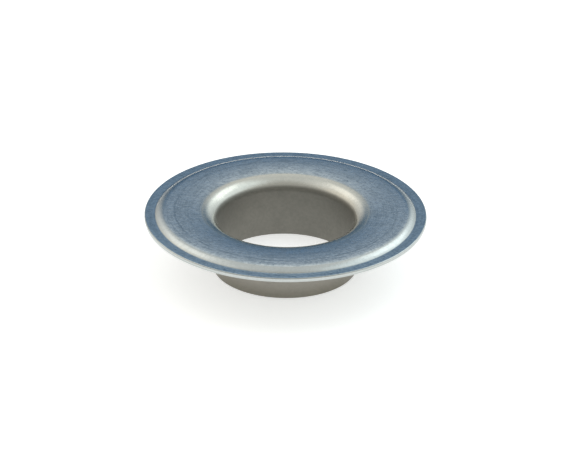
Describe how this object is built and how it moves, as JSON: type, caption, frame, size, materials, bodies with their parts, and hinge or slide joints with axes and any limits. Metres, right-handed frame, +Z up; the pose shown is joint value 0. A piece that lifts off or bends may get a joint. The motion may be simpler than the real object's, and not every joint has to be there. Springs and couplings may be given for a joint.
{
  "type": "grommet eyelet",
  "caption": "Round sheet-metal grommet eyelet with a short barrel, rolled mouth, raised crown ring and flat outer brim, for lining a hole in sheet material.",
  "frame": {"origin": "middle of the open end of the barrel, which is also the middle of the part's base", "axes": "+Z up the barrel's axis towards the flange; the part is the same all the way round"},
  "size_m": [0.032, 0.032, 0.007],
  "materials": {
    "plated_steel": "satin nickel-plated steel, faintly blue on top and warmer grey inside the barrel"
  },
  "bodies": {
    "root": {"eyelet": "plated_steel"}
  },
  "joints": []
}
